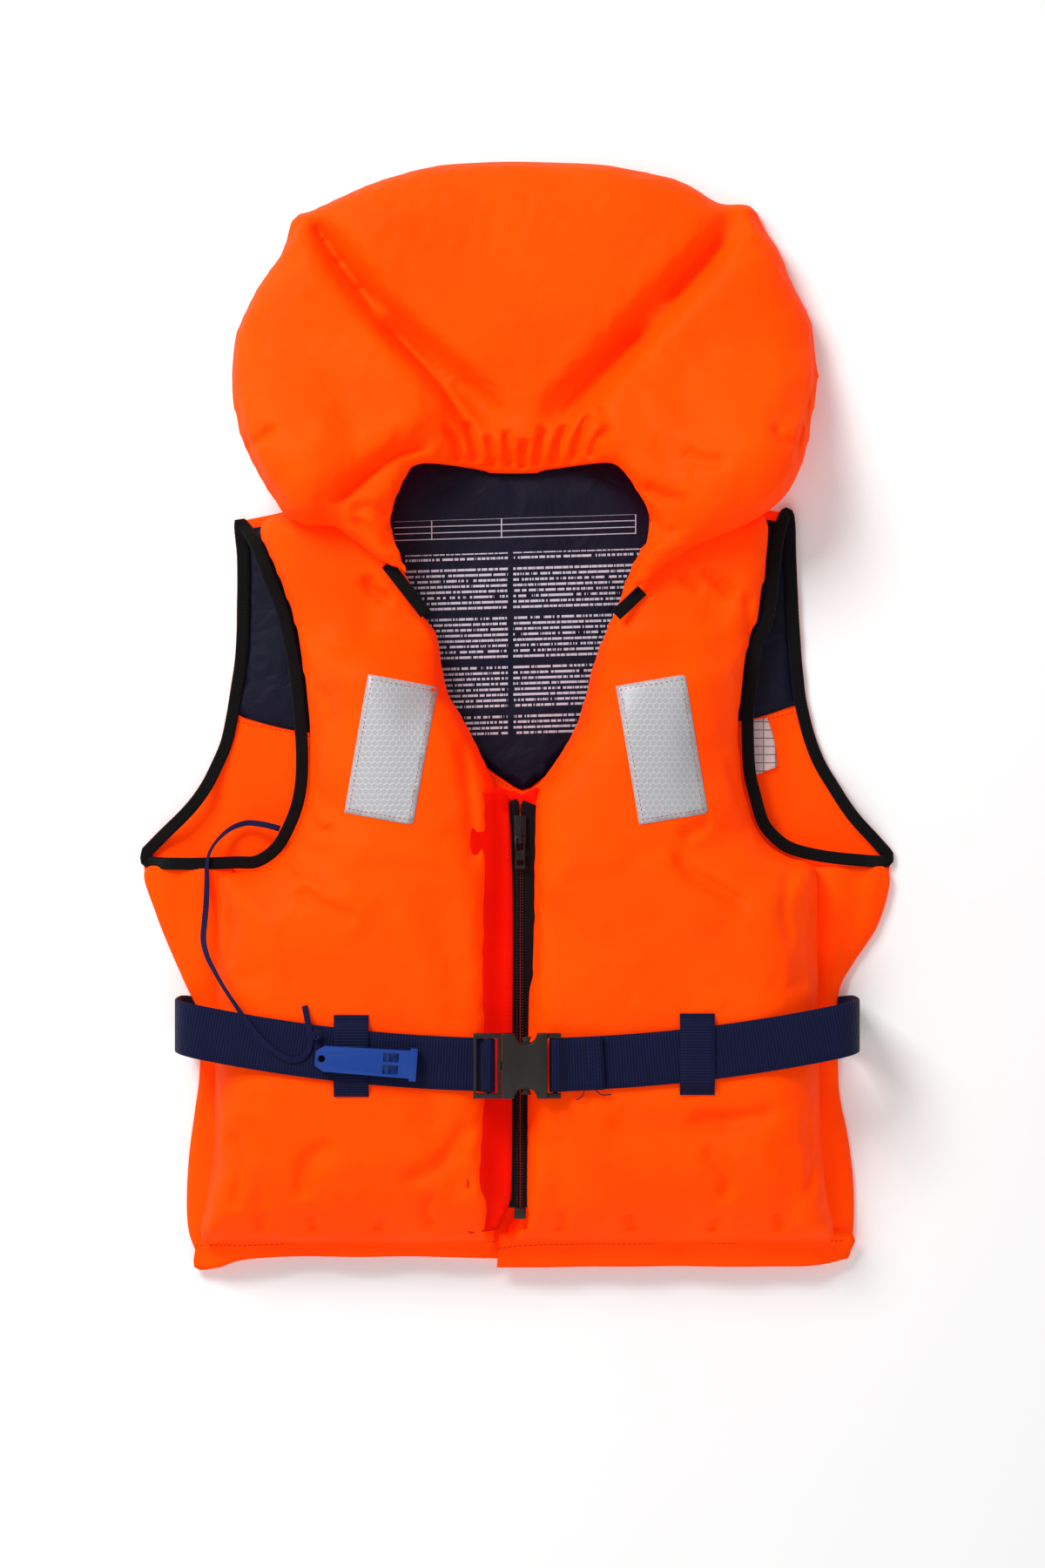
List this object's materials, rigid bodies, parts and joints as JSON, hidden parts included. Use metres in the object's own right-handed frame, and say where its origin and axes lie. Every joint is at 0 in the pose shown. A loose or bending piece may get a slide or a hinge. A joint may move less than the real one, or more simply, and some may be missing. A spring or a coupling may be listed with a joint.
{
  "type": "life jacket",
  "caption": "Foam life jacket with a lobed head collar, front zip, webbing belt with side-release buckle, reflective patches and a whistle on a lanyard, lying on its back.",
  "frame": {"origin": "centre of the outline, on the surface that the back rests on", "axes": "+Y from the hem to the collar, +X to the wearer's left, +Z from the back to the front"},
  "size_m": [0.5526, 0.808, 0.0874],
  "materials": {
    "shell_fabric": "coated woven polyester, high-visibility orange",
    "lining_fabric": "smooth woven lining, navy",
    "foam": "closed-cell polyethylene foam, pale",
    "binding_tape": "black woven tape",
    "webbing": "ribbed navy polyester webbing",
    "zip_teeth": "moulded black acetal",
    "black_plastic": "satin moulded black acetal",
    "reflective_tape": "silver-grey retroreflective tape with a fine hexagon pattern",
    "label": "white printed-ribbon label, left blank",
    "blue_plastic": "moulded blue plastic"
  },
  "bodies": {
    "jacket": {"back_panel": "shell_fabric", "back_lining": "lining_fabric", "front_cover_left": "shell_fabric", "front_cover_right": "shell_fabric", "front_foam_left": "foam", "front_foam_right": "foam", "front_lining_left": "lining_fabric", "front_lining_right": "lining_fabric", "side_panel_left": "shell_fabric", "side_panel_right": "shell_fabric", "armhole_binding_left": "binding_tape", "armhole_binding_right": "binding_tape", "collar_cover": "shell_fabric", "collar_underside": "shell_fabric", "collar_foam_centre": "foam", "collar_foam_left": "foam", "collar_foam_right": "foam", "collar_binding_left": "binding_tape", "collar_binding_right": "binding_tape", "zip_teeth_left": "zip_teeth", "zip_teeth_right": "zip_teeth", "zip_tape_left": "binding_tape", "zip_tape_right": "binding_tape", "zip_facing": "shell_fabric", "zip_box": "zip_teeth", "belt": "webbing", "belt_loop_left": "webbing", "belt_loop_right": "webbing", "buckle_plug": "black_plastic", "reflective_patch_left": "reflective_tape", "reflective_patch_right": "reflective_tape", "care_label": "label", "whistle": "blue_plastic", "whistle_lanyard": "webbing", "lanyard_knot": "webbing"},
    "socket": {"buckle_socket": "black_plastic", "belt_sewn_end": "webbing"},
    "slider": {"zip_slider": "black_plastic"},
    "puller": {"zip_puller": "black_plastic"},
    "prong_upper": {"plug_prong_upper": "black_plastic"},
    "prong_lower": {"plug_prong_lower": "black_plastic"}
  },
  "joints": [
    {"name": "zip_slide", "type": "slide", "parent": "jacket", "child": "slider", "axis": [0, -1, 0], "range_m": [0, 0.255]},
    {"name": "puller_flip", "type": "hinge", "parent": "slider", "child": "puller", "pos_m": [0.002, -0.09, 0.0498], "axis": [-1, 0, 0], "range_deg": [0, 160]},
    {"name": "buckle_release", "type": "slide", "parent": "jacket", "child": "socket", "axis": [1, 0, 0], "range_m": [0, 0.028]},
    {"name": "prong_squeeze_upper", "type": "hinge", "parent": "jacket", "child": "prong_upper", "pos_m": [-0.0104, -0.23715, 0.0807], "axis": [0, 0, -1], "range_deg": [0, 8], "stiffness_Nm_per_rad": 0.6},
    {"name": "prong_squeeze_lower", "type": "hinge", "parent": "jacket", "child": "prong_lower", "pos_m": [-0.0104, -0.26485, 0.0807], "axis": [0, 0, 1], "range_deg": [0, 8], "stiffness_Nm_per_rad": 0.6}
  ]
}
